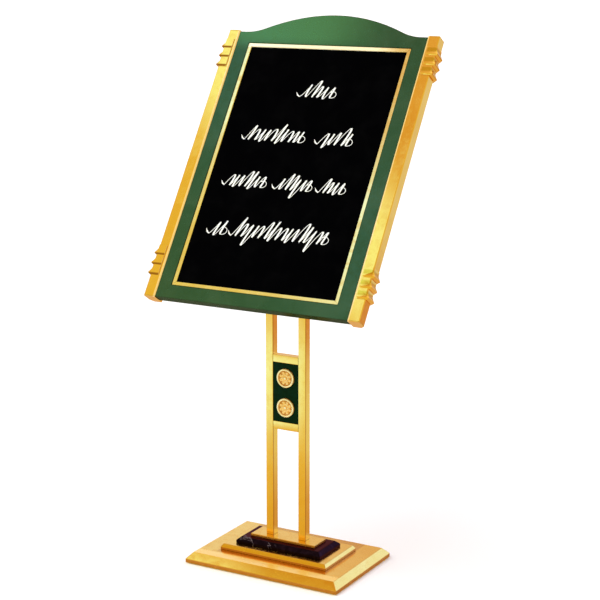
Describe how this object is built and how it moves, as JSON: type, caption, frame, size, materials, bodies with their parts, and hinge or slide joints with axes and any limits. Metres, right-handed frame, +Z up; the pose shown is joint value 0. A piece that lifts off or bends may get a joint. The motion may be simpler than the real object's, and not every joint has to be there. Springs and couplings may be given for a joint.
{
  "type": "display easel",
  "caption": "Free-standing display easel: arched framed board that tilts on two rectangular posts over a stepped base with a stone plinth.",
  "frame": {"origin": "centre of the base's underside, on the floor", "axes": "+Z up, +X along the board's width, the board's face looks towards -Y"},
  "size_m": [0.6184, 0.4692, 1.3797],
  "materials": {
    "pad_rubber": "matte anti-slip sheet",
    "gold_plate": "polished gold plating",
    "gold_post": "polished gold plating",
    "gold_rail": "polished gold plating",
    "gold_trim": "pale gold, satin polish",
    "gold_relief": "cast relief, pale gold",
    "dark_stone": "polished, dark with light veins",
    "dark_panel": "near-black green gloss lacquer",
    "green_paint": "green gloss lacquer over wood",
    "black_sheet": "matte black",
    "plain_wood": "bare sanded board",
    "steel": "plain steel",
    "fibre": "fibre washer",
    "black_knob": "moulded, semi-gloss"
  },
  "bodies": {
    "stand": {"base_pad": "pad_rubber", "base_plate": "gold_plate", "cap_plate": "gold_plate", "crossbar_lower": "gold_post", "crossbar_upper": "gold_post", "friction_washer_left": "fibre", "friction_washer_right": "fibre", "pivot_rod": "steel", "post_head_left": "gold_post", "post_head_right": "gold_post", "post_left": "gold_post", "post_panel": "dark_panel", "post_plug_left": "steel", "post_plug_right": "steel", "post_right": "gold_post", "rosette_lower": "gold_relief", "rosette_upper": "gold_relief", "step_plate": "gold_plate", "stone_plinth": "dark_stone", "tie_bolt_left": "steel", "tie_bolt_right": "steel"},
    "board": {"backing_board": "plain_wood", "button_screw_left_1": "steel", "button_screw_left_2": "steel", "button_screw_right_1": "steel", "button_screw_right_2": "steel", "display_panel": "black_sheet", "frame_bottom": "green_paint", "frame_stile_left": "green_paint", "frame_stile_right": "green_paint", "frame_top": "green_paint", "hinge_lug_left": "gold_post", "hinge_lug_right": "gold_post", "hinge_plate": "gold_post", "hinge_screw_lower_left": "steel", "hinge_screw_lower_right": "steel", "hinge_screw_upper_left": "steel", "hinge_screw_upper_right": "steel", "rail_cap_bottom_left": "gold_rail", "rail_cap_bottom_right": "gold_rail", "rail_cap_top_left": "gold_rail", "rail_cap_top_right": "gold_rail", "rail_collar_lower_left": "gold_rail", "rail_collar_lower_right": "gold_rail", "rail_collar_upper_left": "gold_rail", "rail_collar_upper_right": "gold_rail", "rail_left": "gold_rail", "rail_right": "gold_rail", "trim_bottom": "gold_trim", "trim_left": "gold_trim", "trim_right": "gold_trim", "trim_top": "gold_trim"},
    "clamp_knob_left": {"clamp_knob_left": "black_knob"},
    "clamp_knob_right": {"clamp_knob_right": "black_knob"},
    "turn_button_left_1": {"turn_button_left_1": "gold_trim"},
    "turn_button_left_2": {"turn_button_left_2": "gold_trim"},
    "turn_button_right_1": {"turn_button_right_1": "gold_trim"},
    "turn_button_right_2": {"turn_button_right_2": "gold_trim"}
  },
  "joints": [
    {"name": "board_tilt", "type": "hinge", "parent": "stand", "child": "board", "pos_m": [0, 0, 0.8894], "axis": [1, 0, 0], "range_deg": [-25, 33]},
    {"name": "clamp_knob_left_turn", "type": "hinge", "parent": "stand", "child": "clamp_knob_left", "pos_m": [-0.0813, 0, 0.8894], "axis": [-1, 0, 0], "range_deg": [0, 270]},
    {"name": "clamp_knob_right_turn", "type": "hinge", "parent": "stand", "child": "clamp_knob_right", "pos_m": [0.0813, 0, 0.8894], "axis": [1, 0, 0], "range_deg": [0, 270]},
    {"name": "turn_button_left_1_turn", "type": "hinge", "parent": "board", "child": "turn_button_left_1", "pos_m": [-0.25, -0.08586, 0.81677], "axis": [0, 0.8348, -0.5505], "range_deg": [0, 90]},
    {"name": "turn_button_left_2_turn", "type": "hinge", "parent": "board", "child": "turn_button_left_2", "pos_m": [-0.25, 0.16185, 1.19245], "axis": [0, 0.8348, -0.5505], "range_deg": [0, 90]},
    {"name": "turn_button_right_1_turn", "type": "hinge", "parent": "board", "child": "turn_button_right_1", "pos_m": [0.25, -0.08586, 0.81677], "axis": [0, 0.8348, -0.5505], "range_deg": [-90, 0]},
    {"name": "turn_button_right_2_turn", "type": "hinge", "parent": "board", "child": "turn_button_right_2", "pos_m": [0.25, 0.16185, 1.19245], "axis": [0, 0.8348, -0.5505], "range_deg": [-90, 0]}
  ]
}
